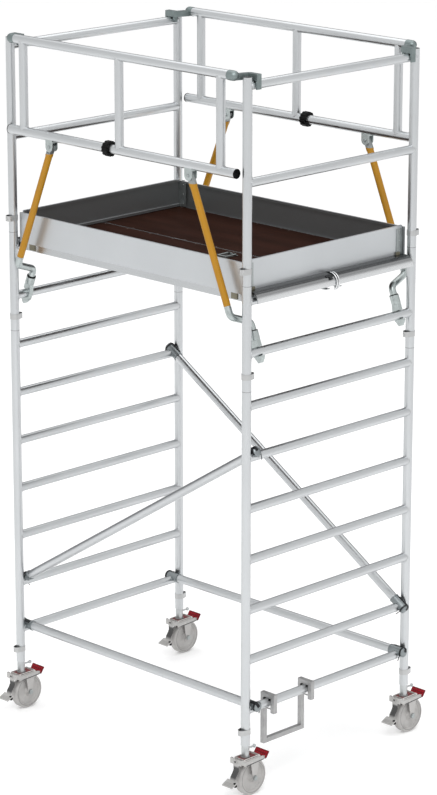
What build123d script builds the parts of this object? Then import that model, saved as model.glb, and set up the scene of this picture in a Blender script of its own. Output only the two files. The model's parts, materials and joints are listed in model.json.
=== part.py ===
from build123d import *
import os
from math import atan2, cos, degrees, hypot, pi, sin

# Mobile tower scaffold, millimetres. X runs along the tower, from the left to the right ladder
# frame, Y across it, from front to back, and Z up from the ground. The origin is on the ground,
# at the middle of the four legs.

# ---- driving dimensions ----
SPAN_X = 1800.0             # between the planes of the two ladder frames
SPAN_Y = 1272.0             # between the uprights of one ladder frame
RUNG_PITCH = 280.0
UPRIGHT_R = 25.0
UPRIGHT_WALL = 2.0
RUNG_R = 24.0
RUNG_WALL = 1.8
LEG_BOTTOM = 290.0          # height of the lower end of the uprights
FIRST_RUNG_RISE = 197.0     # first rung above the lower end of its section
LOWER_RUNGS = 7
MIDDLE_RUNGS = 2
GUARD_RUNG_RISES = (536.0, 1036.0)
GUARD_LENGTH = 1080.0
SPIGOT_HALF = 100.0         # a spigot's reach into each section
SPIGOT_R = 22.8
SOCKET_R = 23.5             # widened mouth at the top of the highest uprights
SOCKET_DEPTH = 110.0
CLIP_RISE = 79.0            # locking clip above the lower end of its section
CLIP_HEIGHT = 30.0
CLIP_REACH = 48.0           # from the upright's axis
CLIP_PIN_R = 5.0

BRACE_R = 24.0
BRACE_WALL = 2.0
BRACE_RISE = 15.0           # brace axis above the rung that it hooks over
BRACE_INSET = 52.0          # brace axis inside the upright's axis
CLAW_BACK = 52.0            # back end of a brace claw's socket, from the rung's axis
CLAW_NOSE = 42.0            # front end of a brace claw, from the rung's axis
CLAW_R = 26.5

WHEEL_R = 100.0
WHEEL_HALF = 25.0
TRAIL = 38.0                # wheel axle behind the swivel axis
AXLE_R = 10.0
STEM_R = 21.5
FORK_HALF = 36.0
FORK_TOP = 226.0
FORK_FRONT = -46.0
FORK_BACK = 72.0
FORK_PLATE = 3.5
KINGPIN_R = 8.0
BRAKE_PIVOT = (10.0, 197.0)  # across from the swivel axis, and up
PEDAL_TIP = (-139.0, 87.0)
PEDAL_HALF = 38.0
NECK_HALF = 18.0            # half the width of the strip that carries the pedal
PAD_FOOT = (111.0, 192.0)   # lower end of the pad's plate
PAD_TIP = (136.8, 228.0)    # upper end of the pad's plate
PAD_PLATE = 4.0
PAD_HALF = 48.0
RUNNING = 0.05              # radial clearance of a shaft in its bore

DECK_TOP = 2770.0
DECK_THICK = 12.0
BOARD_OUTER = 603.0         # outer face of a board's side rail, from the tower's middle plane
BOARD_SEAM = 1.5            # half the gap between the two boards
BOARD_BOTTOM = 2711.0
RAIL_WEB = 3.0
RAIL_FLANGE = 25.0
HOOK_R = 45.0               # nose of the hook profile, about the rung that it sits on
HOOK_SKIN = 5.0
HOOK_INNER = 850.0          # inner face of the hook profile
HOOK_END = 600.0
FLANGE_R = 52.0
TOE_HEIGHT = 168.0
TOE_THICK = 12.0
LONG_TOE_BOTTOM = 2752.0
LONG_TOE_HALF = 868.0
END_TOE_FACE = 862.0        # outer face of an end toe board, from the tower's middle
END_TOE_HALF = 599.0
END_TOE_BOTTOM = 2772.0
END_TOE_HEIGHT = 158.0

HATCH_LEFT = -70.0
HATCH_RIGHT = 530.0
HATCH_GAP = 2.0
HINGE_Y = -588.0
HINGE_Z = 2776.0
KNUCKLE_R = 6.0
HINGE_PIN_R = 3.0
HINGE_KNUCKLES = 9
RING_X = 230.0
RING_PIVOT_Y = -66.0
RING_LENGTH = 86.0
RING_WIRE_R = 3.0

GUARD_OFFSET = 40.0         # guardrail outside the uprights' plane
GUARD_R = 25.0
GUARD_WALL = 2.0
GUARD_POST_R = 24.0
GUARD_TOP = 3895.0
GUARD_LOW = 3395.0
GUARD_TOP_HALF = 826.0
GUARD_LOW_HALF = 862.0
GUARD_POST_X = (-750.0, 0.0, 750.0)
COLLAR_X = -78.0
COLLAR_R = 42.0

STRUT_PIVOT = (-532.0, 3340.0)  # along the tower, and up
STRUT_R = 19.0
STRUT_WALL = 2.0
STRUT_PLUG_R = 16.0         # steel end inside the painted tube
STRUT_STEEL_R = 19.0
STRUT_BEND = 34.0
EAR_R = 27.0
STRUT_JOG = 130.0           # sideways step of the steel end, in towards the rung
JAW_R = 24.7
JAW_LIP = 22.0              # jaw's lips past the rung's axis
JAW_HALF = 13.0
COLLAR_STEEL_R = 22.5       # casting about the steel tube, above the jaw

HANGER_Y = (-457.0, -166.0)
HANGER_BAR = 25.0
HANGER_BOTTOM = 243.0
HANGER_GAP = 0.6
HANGER_WALL = 2.5

# ---- derived places ----
HALF_X = SPAN_X / 2
HALF_Y = SPAN_Y / 2
LOWER_TOP = LEG_BOTTOM + LOWER_RUNGS * RUNG_PITCH
MIDDLE_TOP = LOWER_TOP + MIDDLE_RUNGS * RUNG_PITCH
GUARD_END = MIDDLE_TOP + GUARD_LENGTH
GUARD_Y = -(HALF_Y + GUARD_OFFSET)
GUARD_TOP_RUNG = MIDDLE_TOP + GUARD_RUNG_RISES[1]
BRACE_Y = -(HALF_Y - BRACE_INSET)
HINGE_SPAN = (HATCH_LEFT + 20, HATCH_RIGHT - 20)
PLATE_TOP = FORK_TOP - 8    # top face of the fork's tray
RING_Z = DECK_TOP + 2.2 + KNUCKLE_R
LEFT, RIGHT = -1, 1
FRONT, BACK = -1, 1
CORNERS = (("fl", LEFT, FRONT), ("fr", RIGHT, FRONT), ("br", RIGHT, BACK), ("bl", LEFT, BACK))


def rung_z(number):
    return LEG_BOTTOM + FIRST_RUNG_RISE + (number - 1) * RUNG_PITCH


def block(x0, x1, y0, y1, z0, z1):
    """A box between two corners."""
    return Pos((x0 + x1) / 2, (y0 + y1) / 2, (z0 + z1) / 2) * Box(x1 - x0, y1 - y0, z1 - z0)


def rod(start, end, radius):
    """A round bar between two points."""
    start, end = Vector(start), Vector(end)
    plane = Plane(origin=start, z_dir=end - start)
    length = (end - start).length
    return plane * Cylinder(radius, length, align=(Align.CENTER, Align.CENTER, Align.MIN))


def tube(start, end, radius, wall):
    return rod(start, end, radius) - rod(start, end, radius - wall)


def ring(centre, direction, length, outer, inner):
    """A round collar about a point, along a direction."""
    centre, direction = Vector(centre), Vector(direction).normalized()
    start, end = centre - direction * (length / 2), centre + direction * (length / 2)
    return rod(start, end, outer) - rod(start, end, inner)


def slab_y(points, y0, y1):
    """An outline in X and Z, extruded from y0 to y1."""
    face = make_face(Plane.XZ.offset(-y0) * Polyline(*points, close=True))
    return extrude(face, y1 - y0, dir=(0, 1, 0))


def slab_x(points, x0, x1):
    """An outline in Y and Z, extruded from x0 to x1."""
    face = make_face(Plane.YZ.offset(x0) * Polyline(*points, close=True))
    return extrude(face, x1 - x0, dir=(1, 0, 0))


def slab_z(points, z0, z1):
    """An outline in X and Y, extruded from z0 to z1."""
    face = make_face(Plane.XY.offset(z0) * Polyline(*points, close=True))
    return extrude(face, z1 - z0, dir=(0, 0, 1))


def turned(shape):
    """The same piece at the opposite place, half a turn about the tower's axis."""
    return Rot(0, 0, 180) * shape


def mirrored(shape):
    """The same piece at the other ladder frame."""
    return mirror(shape, about=Plane.YZ)


# ---- ladder frames ----
def upright(side, face, z0, z1):
    """One upright tube, with the hole of its locking clip's pin and the topmost socket."""
    x, y = side * HALF_X, face * HALF_Y
    pipe = tube((x, y, z0), (x, y, z1), UPRIGHT_R, UPRIGHT_WALL)
    if z1 == GUARD_END:
        pipe -= rod((x, y, z1 - SOCKET_DEPTH), (x, y, z1 + 1), SOCKET_R)
    way = clip_way(face, z0)
    z = z0 + CLIP_RISE
    return pipe - rod((x, y, z), (x, y + way * 2 * UPRIGHT_R, z), CLIP_PIN_R + 0.2)


def clip_way(face, z0):
    """The side of the upright on which its clip stands: inwards at the first joint only."""
    return -face if z0 == LOWER_TOP else face


def rung(side, z):
    """A rung tube, with its ends cut to the curve of the uprights."""
    x = side * HALF_X
    pipe = tube((x, -HALF_Y, z), (x, HALF_Y, z), RUNG_R, RUNG_WALL)
    for y in (-HALF_Y, HALF_Y):
        pipe -= rod((x, y, z - 2 * RUNG_R), (x, y, z + 2 * RUNG_R), UPRIGHT_R)
    return pipe


def frame_section(side, z0, z1, rung_heights):
    """One welded section of a ladder frame."""
    pieces = [upright(side, face, z0, z1) for face in (FRONT, BACK)]
    return pieces + [rung(side, z) for z in rung_heights]


def spigots():
    """Sleeves inside the two joints of every upright."""
    pieces = []
    for _, side, face in CORNERS:
        for z in (LOWER_TOP, MIDDLE_TOP):
            x, y = side * HALF_X, face * HALF_Y
            sleeve = tube((x, y, z - SPIGOT_HALF), (x, y, z + SPIGOT_HALF), SPIGOT_R, UPRIGHT_WALL)
            pin = z + CLIP_RISE
            way = clip_way(face, z)
            hole = rod((x, y, pin), (x, y + way * 2 * UPRIGHT_R, pin), CLIP_PIN_R + 0.2)
            pieces.append(sleeve - hole)
    return pieces


def locking_clip(side, face, z0):
    """A spring band about the upright, with a pin through the tube's wall."""
    x, y, z = side * HALF_X, face * HALF_Y, z0 + CLIP_RISE
    way = clip_way(face, z0)
    nose_r = 21.0
    nose = way * (CLIP_REACH - nose_r)
    band = 2.0
    hug = UPRIGHT_R + 0.3

    def shell(grow):
        outline = make_hull(
            (Circle(hug + grow).edges() + (Pos(0, nose) * Circle(nose_r - band + grow)).edges())
        )
        return extrude(make_face(outline), CLIP_HEIGHT)

    loop = Pos(x, y, z - CLIP_HEIGHT / 2) * (shell(band) - shell(0))
    pin_start = y + way * (CLIP_REACH - band)
    pin_end = y + way * (SPIGOT_R - UPRIGHT_WALL - 4)
    pin = rod((x, pin_start, z), (x, pin_end, z), CLIP_PIN_R)
    return loop + pin


def locking_clips():
    return [
        locking_clip(side, face, z0)
        for z0 in (LEG_BOTTOM, LOWER_TOP, MIDDLE_TOP)
        for _, side, face in CORNERS
    ]


# ---- casters, about a swivel axis through the origin ----
def caster_stem():
    """Plug inside the upright, stem, flange on the fork, and kingpin through its plate."""
    plug = rod((0, 0, LEG_BOTTOM), (0, 0, LEG_BOTTOM + 130), SPIGOT_R)
    plug -= rod((0, 0, LEG_BOTTOM + 30), (0, 0, LEG_BOTTOM + 130), SPIGOT_R - 4)
    stem = rod((0, 0, PLATE_TOP + 10), (0, 0, LEG_BOTTOM), STEM_R)
    flange = rod((0, 0, PLATE_TOP + 0.3), (0, 0, PLATE_TOP + 10), STEM_R + 4)
    kingpin = rod((0, 0, PLATE_TOP - 14), (0, 0, PLATE_TOP + 0.3), KINGPIN_R)
    kingpin += rod((0, 0, PLATE_TOP - 12), (0, 0, PLATE_TOP - FORK_PLATE - 1.2), KINGPIN_R + 4)
    return plug + stem + flange + kingpin


def stem_lug():
    """Small bar that stands out behind the stem."""
    eye = ring((0, 68, 266), (1, 0, 0), 8, 10, 5)
    bar = block(-3, 3, STEM_R - 2, 60, 262, 270)
    return bar + eye - rod((0, 0, 250), (0, 0, 282), STEM_R)


def caster_stems():
    pieces = []
    for _, side, face in CORNERS:
        place = Pos(side * HALF_X, face * HALF_Y, 0)
        hole_end = face * 2 * UPRIGHT_R
        z = LEG_BOTTOM + CLIP_RISE
        hole = rod((0, 0, z), (0, hole_end, z), CLIP_PIN_R + 0.2)
        pieces.append(place * (caster_stem() - hole))
        pieces.append(place * stem_lug())
    return pieces


def fork_side(x0, x1):
    """A cheek of the fork: a skirt along the top, and a leg down to the axle."""
    skirt = slab_x([(FORK_FRONT, FORK_TOP), (FORK_BACK, FORK_TOP), (96, 196), (90, 184),
                    (FORK_FRONT, 184)], x0, x1)
    leg = slab_x([(8, 190), (70, 190), (TRAIL + 15, WHEEL_R), (TRAIL - 15, WHEEL_R)], x0, x1)
    boss = rod((x0, TRAIL, WHEEL_R), (x1, TRAIL, WHEEL_R), 17)
    bore = rod((x0 - 1, TRAIL, WHEEL_R), (x1 + 1, TRAIL, WHEEL_R), AXLE_R)
    return skirt + leg + boss - bore


def fork():
    """Tray on top with a rim, cheeks on both sides, and the bearing hole."""
    plate = block(-FORK_HALF, FORK_HALF, FORK_FRONT, FORK_BACK, PLATE_TOP - FORK_PLATE, PLATE_TOP)
    rim = FORK_PLATE
    wall_front = block(-FORK_HALF, FORK_HALF, FORK_FRONT, FORK_FRONT + rim, 196, FORK_TOP)
    wall_back = block(-FORK_HALF, FORK_HALF, FORK_BACK - rim, FORK_BACK, PLATE_TOP - 4, FORK_TOP)
    cheeks = fork_side(-FORK_HALF, rim - FORK_HALF) + fork_side(FORK_HALF - rim, FORK_HALF)
    body = plate + wall_front + wall_back + cheeks
    bearing = rod((0, 0, PLATE_TOP - 10), (0, 0, PLATE_TOP + 5), KINGPIN_R + RUNNING)
    across, up = BRAKE_PIVOT
    pivots = rod((-FORK_HALF - 5, across, up), (-FORK_HALF, across, up), 5)
    pivots += rod((FORK_HALF, across, up), (FORK_HALF + 5, across, up), 5)
    return body - bearing + pivots


def wheel():
    """Tyre, dished web and hub turned about the axle."""
    half, hub, web = WHEEL_HALF, FORK_HALF - FORK_PLATE - 1.5, 15.0
    outline = [
        (AXLE_R + RUNNING, -hub), (22, -hub), (24, -half + 3), (30, -web), (72, -web),
        (80, -half + 2), (WHEEL_R - 7, -half + 1), (WHEEL_R - 2, -half + 6), (WHEEL_R, -half + 12),
        (WHEEL_R, half - 12), (WHEEL_R - 2, half - 6), (WHEEL_R - 7, half - 1), (80, half - 2),
        (72, web), (30, web), (24, half - 3), (22, hub), (AXLE_R + RUNNING, hub),
    ]
    profile = make_face(Plane.XY * Polyline(*outline, close=True))
    solid = revolve(profile, Axis.Y)
    return Pos(0, TRAIL, WHEEL_R) * (Rot(0, 0, -90) * solid)


def axle():
    """Axle bolt with a head and a nut outside the cheeks."""
    bolt = rod((-FORK_HALF - 1, TRAIL, WHEEL_R), (FORK_HALF + 8, TRAIL, WHEEL_R), AXLE_R)
    hexagon = Plane.YZ * RegularPolygon(15, 6)
    nut = Pos(FORK_HALF, TRAIL, WHEEL_R) * extrude(hexagon, 7)
    head = Pos(-FORK_HALF - 6, TRAIL, WHEEL_R) * extrude(hexagon, 6)
    return bolt + nut + head


def strip(start, end, z_shift, thickness):
    """Outline of a flat strip of the given thickness, with one long side from start to end."""
    run, rise = end[0] - start[0], end[1] - start[1]
    length = hypot(run, rise)
    across = Vector(-rise / length, run / length)
    base, tip = Vector(*start) + across * z_shift, Vector(*end) + across * z_shift
    corners = [base, tip, tip + across * thickness, base + across * thickness]
    return [(corner.X, corner.Y) for corner in corners]


def brake_lever():
    """Rocker outside both cheeks, with the foot pedal in front and the pad's plate behind."""
    across, up = BRAKE_PIVOT
    inner, outer = FORK_HALF + 1, FORK_HALF + 4
    arm = [(-74, 206), (-74, 230), (-62, 230), (-40, 212), (92, 214), (112, 207),
           (PAD_FOOT[0] + 2, PAD_FOOT[1] - 2), (20, 186), (-30, 186)]
    arms = slab_x(arm, inner, outer) + slab_x(arm, -outer, -inner)
    arms -= rod((-outer - 1, across, up), (outer + 1, across, up), 5 + RUNNING)
    front = block(-outer, outer, -74, -70, 198, 230)
    boss = rod((0, -79, 214), (0, -70, 214), 12)
    hole = rod((0, -80, 214), (0, -69, 214), 7)
    neck = slab_x([(-70, 206), (-66, 166), (-75, 148), (-90, 128), (-94, 112), (-98.4, 113),
                   (-94, 131), (-79, 151), (-70.5, 168), (-74, 206)], -NECK_HALF, NECK_HALF)
    y, z = PEDAL_TIP
    pedal = slab_x([(-93, 108), (-95, 114), (y - 1, z + 6), (y, z)], -PEDAL_HALF, PEDAL_HALF)
    plate = slab_x(strip(PAD_FOOT, PAD_TIP, -PAD_PLATE, PAD_PLATE), 4 - PAD_HALF, PAD_HALF - 4)
    bridge_end = (PAD_FOOT[0] + 6, PAD_FOOT[1] + 8)
    bridge = slab_x(strip(PAD_FOOT, bridge_end, -PAD_PLATE, PAD_PLATE), -outer, outer)
    pad_room = slab_x(strip(PAD_FOOT, PAD_TIP, 0, 8), -PAD_HALF - 1, PAD_HALF + 1)
    return arms + front + boss - hole - pad_room + neck + pedal + plate + bridge


def release_pad():
    """Moulded pad on the rocker's rear plate."""
    foot = (PAD_FOOT[0] + 1.5, PAD_FOOT[1] + 2)
    return slab_x(strip(foot, PAD_TIP, 0.3, 7), -PAD_HALF, PAD_HALF)


# ---- braces ----
def claw_points(low_rung, high_rung):
    """Ends and direction of a brace that hooks over two rungs, from the left frame."""
    z0, z1 = rung_z(low_rung), rung_z(high_rung)
    length = hypot(SPAN_X, z1 - z0)
    along = Vector(SPAN_X / length, 0, (z1 - z0) / length)
    normal = Vector(-along.Z, 0, along.X)
    start = Vector(-HALF_X, BRACE_Y, z0) + normal * BRACE_RISE
    return start, along, normal, length


def brace(low_rung, high_rung):
    start, along, _, length = claw_points(low_rung, high_rung)
    return tube(start + along * (CLAW_BACK - 12), start + along * (length - CLAW_BACK + 12),
                BRACE_R, BRACE_WALL)


def claw(centre, outward, normal):
    """Round-nosed claw that hooks over a rung from above, with a socket for the tube."""
    body = rod(centre - outward * CLAW_BACK, centre + outward * CLAW_NOSE, CLAW_R)
    socket = rod(centre - outward * (CLAW_BACK + 1), centre - outward * (CLAW_BACK - 12), BRACE_R)
    seat = centre - normal * BRACE_RISE
    across = Vector(0, 50, 0)
    hole = rod(seat - across, seat + across, RUNG_R + 0.3)
    mouth = Plane(origin=seat - normal * 30, x_dir=outward, z_dir=normal)
    slot = mouth * Box(2 * RUNG_R + 0.6, 100, 60)
    return body - socket - hole - slot


def trigger(centre, outward, normal):
    """Curved spring lever about the claw's nose, with a tail below."""
    at = centre + outward * (CLAW_NOSE - 7)
    band = ring(at, outward, 9, CLAW_R + 3.2, CLAW_R + 0.2)
    cut = Plane(origin=at - normal * (CLAW_R + 8), x_dir=outward, z_dir=normal)
    band -= cut * Box(20, 80, 40)
    tail_start = at - normal * 12 + Vector(0, CLAW_R + 0.6, 0)
    tail_end = tail_start - normal * 34 - outward * 12
    return band + rod(tail_start, tail_end, 2.4)


def brace_ends(make):
    pieces = []
    for low, high in ((1, 1), (2, 6)):
        start, along, normal, length = claw_points(low, high)
        pieces.append(make(start, along * -1, normal))
        pieces.append(make(start + along * length, along, normal))
    return pieces + [turned(piece) for piece in pieces]


# ---- platform ----
def side_rail(y_web, inward):
    """Channel along a board's edge: web, foot flange and the shelf that holds the deck."""
    y0, y1 = sorted((y_web, y_web + inward * RAIL_WEB))
    f0, f1 = sorted((y_web, y_web + inward * RAIL_FLANGE))
    half = HOOK_INNER - 0.3
    web = block(-half, half, y0, y1, BOARD_BOTTOM, DECK_TOP)
    foot = block(-half, half, f0, f1, BOARD_BOTTOM, BOARD_BOTTOM + RAIL_WEB)
    shelf_top = DECK_TOP - DECK_THICK
    shelf = block(-half, half, f0, f1, shelf_top - RAIL_WEB, shelf_top)
    return web + foot + shelf


def front_rails():
    return [side_rail(-BOARD_OUTER, 1), side_rail(-BOARD_SEAM, -1)]


def hook_outline(radius, skin):
    """Round nose over the rung, flat top, inner web and foot."""
    cx, cz = HALF_X, rung_z(9)
    steps = 10
    outer = [(cx + radius * cos(a), cz + radius * sin(a))
             for a in (pi / 2 * k / steps for k in range(steps + 1))]
    inner = [(cx + (radius - skin) * cos(a), cz + (radius - skin) * sin(a))
             for a in (pi / 2 * k / steps for k in range(steps, -1, -1))]
    lip = cz - 11
    return ([(cx + radius, lip)] + outer + [(HOOK_INNER, cz + radius), (HOOK_INNER, BOARD_BOTTOM),
            (HOOK_INNER + 20, BOARD_BOTTOM), (HOOK_INNER + 20, BOARD_BOTTOM + 3),
            (HOOK_INNER + 3, BOARD_BOTTOM + 3), (HOOK_INNER + 3, cz + radius - skin)]
            + inner + [(cx + radius - skin, lip)])


def end_hook():
    """Hook profile of the front board at the right-hand ladder frame, with its end flange."""
    y0, y1 = -HOOK_END, -BOARD_SEAM - 6
    profile = slab_y(hook_outline(HOOK_R, HOOK_SKIN), y0, y1)
    cx, cz = HALF_X, rung_z(9)
    seat = block(cx - 16, cx + 16, y0, y1, cz + RUNG_R - 6, cz + HOOK_R - HOOK_SKIN + 1)
    seat -= rod((cx, y0 - 1, cz), (cx, y1 + 1, cz), RUNG_R + 0.2)
    plate = rod((cx, y1, cz), (cx, y1 + 6, cz), FLANGE_R)
    plate -= rod((cx, y1 - 1, cz), (cx, y1 + 7, cz), RUNG_R + 4)
    plate -= block(cx - 80, cx + RUNG_R + 4, y1 - 1, y1 + 7, cz - 80, cz)
    plate -= block(cx - 80, cx + 80, y1 - 1, y1 + 7, cz - 80, cz - 40)
    plate -= block(cx - 80, HOOK_INNER + 0.5, y1 - 1, y1 + 7, cz - 80, cz + 80)
    return profile + seat + plate


def board_end_hooks():
    right = end_hook()
    front = [right, mirrored(right)]
    return front + [turned(piece) for piece in front]


def deck_panel(x0, x1, y0, y1):
    return block(x0, x1, y0, y1, DECK_TOP - DECK_THICK, DECK_TOP - 0.5)


def deck_panels():
    """Plywood: two panels in the front board, beside the trapdoor, and two in the back board."""
    y0, y1 = BOARD_SEAM + RAIL_WEB + 0.3, BOARD_OUTER - RAIL_WEB - 0.3
    end = HOOK_INNER - 3
    front = [deck_panel(-end, HATCH_LEFT, -y1, -y0), deck_panel(HATCH_RIGHT, end, -y1, -y0)]
    return front + [deck_panel(-end, -0.5, y0, y1), deck_panel(0.5, end, y0, y1)]


def cross_bearer(x, y0, y1):
    """Box section under the deck, from shelf to shelf."""
    top = DECK_TOP - DECK_THICK - 0.2
    return block(x - 15, x + 15, y0, y1, top - 38, top) - block(x - 13, x + 13, y0 - 1, y1 + 1,
                                                                  top - 36, top - 2)


def cross_bearers():
    y0, y1 = BOARD_SEAM + RAIL_FLANGE + 0.3, BOARD_OUTER - RAIL_FLANGE - 0.3
    front = [cross_bearer(x, -y1, -y0) for x in (-460, HATCH_LEFT, HATCH_RIGHT)]
    return front + [cross_bearer(x, y0, y1) for x in (-430, 0.5, 430)]


def board_uplift_locks():
    """Spring catch under each hook profile, beside its flange."""
    cx, cz = HALF_X, rung_z(9)
    plate = block(HOOK_INNER + 22, HOOK_INNER + 26, -62, -30, cz - 34, cz - 4)
    arm = block(HOOK_INNER + 22, cx + 20, -62, -30, cz - 34, cz - 30)
    top = block(HOOK_INNER + 3, HOOK_INNER + 26, -62, -30, cz - 4, cz)
    catch = plate + arm + top
    front = [catch, mirrored(catch)]
    return front + [turned(piece) for piece in front]


# ---- trapdoor ----
def knuckles(first, last, count, offset):
    """Every second knuckle of a hinge, with its pin hole."""
    step = (last - first) / count
    pieces = None
    for k in range(offset, count, 2):
        x0, x1 = first + k * step + 0.4, first + (k + 1) * step - 0.4
        barrel = rod((x0, HINGE_Y, HINGE_Z), (x1, HINGE_Y, HINGE_Z), KNUCKLE_R)
        barrel -= rod((x0 - 1, HINGE_Y, HINGE_Z), (x1 + 1, HINGE_Y, HINGE_Z),
                      HINGE_PIN_R + RUNNING)
        pieces = barrel if pieces is None else pieces + barrel
    return pieces


def hatch_hinge_fixed():
    """Bar on the side rail's shelf, with the fixed knuckles, and the hinge pin."""
    x0, x1 = HINGE_SPAN
    low = DECK_TOP - DECK_THICK + 0.2
    bar = block(x0, x1, -BOARD_OUTER + RAIL_WEB + 0.3, HINGE_Y - 1, low, DECK_TOP)
    link = None
    step = (x1 - x0) / HINGE_KNUCKLES
    for k in range(0, HINGE_KNUCKLES, 2):
        a, b = x0 + k * step + 0.4, x0 + (k + 1) * step - 0.4
        web = block(a, b, HINGE_Y - 7, HINGE_Y - 1, DECK_TOP - 1, HINGE_Z - 1)
        link = web if link is None else link + web
    link -= rod((x0 - 1, HINGE_Y, HINGE_Z), (x1 + 1, HINGE_Y, HINGE_Z), HINGE_PIN_R + 1)
    pin = rod((x0 - 2, HINGE_Y, HINGE_Z), (x1 + 2, HINGE_Y, HINGE_Z), HINGE_PIN_R)
    return [bar + link + knuckles(x0, x1, HINGE_KNUCKLES, 0), pin]


def hatch_hinge_leaf():
    """Leaf on the trapdoor, with the moving knuckles."""
    x0, x1 = HINGE_SPAN
    leaf = block(x0, x1, HINGE_Y + 8, HINGE_Y + 40, DECK_TOP + 0.2, DECK_TOP + 2.7)
    step = (x1 - x0) / HINGE_KNUCKLES
    for k in range(1, HINGE_KNUCKLES, 2):
        a, b = x0 + k * step + 0.4, x0 + (k + 1) * step - 0.4
        web = block(a, b, HINGE_Y + 1, HINGE_Y + 9, DECK_TOP + 0.2, HINGE_Z - 1)
        leaf += web - rod((a - 1, HINGE_Y, HINGE_Z), (b + 1, HINGE_Y, HINGE_Z), HINGE_PIN_R + 1)
    return leaf + knuckles(x0, x1, HINGE_KNUCKLES, 1)


def hatch_panel():
    x0, x1 = HATCH_LEFT + HATCH_GAP, HATCH_RIGHT - HATCH_GAP
    y0, y1 = HINGE_Y + 3, -BOARD_SEAM - RAIL_WEB - HATCH_GAP
    return block(x0, x1, y0, y1, DECK_TOP - DECK_THICK + 0.3, DECK_TOP)


def ring_knuckle_spans():
    """The two knuckles of the lifting ring's plate, along X."""
    return ((RING_X - 24, RING_X - 12), (RING_X + 12, RING_X + 24))


def hatch_ring_plate():
    """Plate of the lifting ring, with two knuckles."""
    top = DECK_TOP + 2.2
    plate = block(RING_X - 40, RING_X + 40, RING_PIVOT_Y - RING_LENGTH - 8, RING_PIVOT_Y + 12,
                  DECK_TOP + 0.2, top)
    z = RING_Z
    for x0, x1 in ring_knuckle_spans():
        barrel = rod((x0, RING_PIVOT_Y, z), (x1, RING_PIVOT_Y, z), KNUCKLE_R)
        barrel += block(x0, x1, RING_PIVOT_Y - KNUCKLE_R, RING_PIVOT_Y + KNUCKLE_R, top - 1, z)
        plate += barrel
    bore = rod((RING_X - 60, RING_PIVOT_Y, z), (RING_X + 60, RING_PIVOT_Y, z),
               RING_WIRE_R + RUNNING)
    return plate - bore


def hatch_ring():
    """D-shaped wire ring that lies on its plate."""
    z = RING_Z
    half, end = 30.0, RING_PIVOT_Y - RING_LENGTH + 10
    left, right = RING_X - half, RING_X + half
    r = RING_WIRE_R
    axis_bar = rod((left - r, RING_PIVOT_Y, z), (right + r, RING_PIVOT_Y, z), r)
    far_bar = rod((left - r, end, z), (right + r, end, z), r)
    sides = rod((left, RING_PIVOT_Y, z), (left, end, z), r)
    sides += rod((right, RING_PIVOT_Y, z), (right, end, z), r)
    return axis_bar + far_bar + sides


# ---- toe boards ----
def toe_section(bottom, height):
    """Outline of a toe board's profile, thickness then height, with a bead at each edge."""
    t, bead = TOE_THICK, 14.0
    return [(0, bottom), (t, bottom), (t, bottom + bead), (t - 9, bottom + bead),
            (t - 9, bottom + height - bead), (t, bottom + height - bead), (t, bottom + height),
            (0, bottom + height)]


def long_toe_boards():
    """Boards along both sides, with the plain face outwards."""
    outer = BOARD_OUTER + 1 + TOE_THICK
    points = [(-outer + t, z) for t, z in toe_section(LONG_TOE_BOTTOM, TOE_HEIGHT)]
    front = slab_x(points, -LONG_TOE_HALF, LONG_TOE_HALF)
    return [front, turned(front)]


def end_toe_boards():
    """Boards across both ends, standing on the hook profiles."""
    points = [(END_TOE_FACE - t, z) for t, z in toe_section(END_TOE_BOTTOM + 0.2, END_TOE_HEIGHT)]
    right = slab_y(points, -END_TOE_HALF, END_TOE_HALF)
    return [right, turned(right)]


def toe_corner(side, face):
    """Angle bracket at a corner of the toe boards."""
    z0, z1 = END_TOE_BOTTOM + 2, END_TOE_BOTTOM + 142
    outer_leg = block(END_TOE_FACE + 0.2, END_TOE_FACE + 3.2, 552, 603, z0, z1)
    inner_leg = block(800, END_TOE_FACE + 0.4, 600, 603, z0, z1)
    angle = outer_leg + inner_leg
    if side == LEFT:
        angle = mirror(angle, about=Plane.YZ)
    if face == FRONT:
        angle = mirror(angle, about=Plane.XZ)
    return angle


def toe_board_clips():
    """Turn clips that hold the toe boards down."""
    face = BOARD_OUTER + 0.2
    pieces = []
    for x in (-780, 780):
        low = block(x - 22, x + 22, -face - 5, -face, BOARD_BOTTOM + 6, LONG_TOE_BOTTOM - 0.3)
        pieces += [low, turned(low)]
    for y in (-560, 560):
        low = block(END_TOE_FACE + 3.5, END_TOE_FACE + 10, y - 14, y + 14,
                    rung_z(9) + HOOK_R + 0.3, rung_z(9) + HOOK_R + 16)
        pieces += [low, turned(low)]
    return pieces


# ---- guardrails ----
def front_guardrail():
    """Top and lower rail with three posts, the posts cut to the curve of the rails."""
    y = GUARD_Y
    top = tube((-GUARD_TOP_HALF, y, GUARD_TOP), (GUARD_TOP_HALF, y, GUARD_TOP), GUARD_R, GUARD_WALL)
    low = tube((-GUARD_LOW_HALF, y, GUARD_LOW), (GUARD_LOW_HALF, y, GUARD_LOW), GUARD_R, GUARD_WALL)
    pieces = [top, low]
    for x in GUARD_POST_X:
        post = tube((x, y, GUARD_LOW), (x, y, GUARD_TOP), GUARD_POST_R, GUARD_WALL)
        for z in (GUARD_LOW, GUARD_TOP):
            post -= rod((x - 60, y, z), (x + 60, y, z), GUARD_R)
        pieces.append(post)
    return pieces


def end_plugs():
    """Caps in the open ends of the lower rails."""
    pieces = []
    for side in (LEFT, RIGHT):
        x = side * GUARD_LOW_HALF
        cap = rod((x, GUARD_Y, GUARD_LOW), (x + side * 3.5, GUARD_Y, GUARD_LOW), GUARD_R + 1)
        bung = rod((x - side * 20, GUARD_Y, GUARD_LOW), (x, GUARD_Y, GUARD_LOW),
                   GUARD_R - GUARD_WALL)
        pieces.append(cap + bung)
    return pieces + [turned(piece) for piece in pieces]


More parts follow.
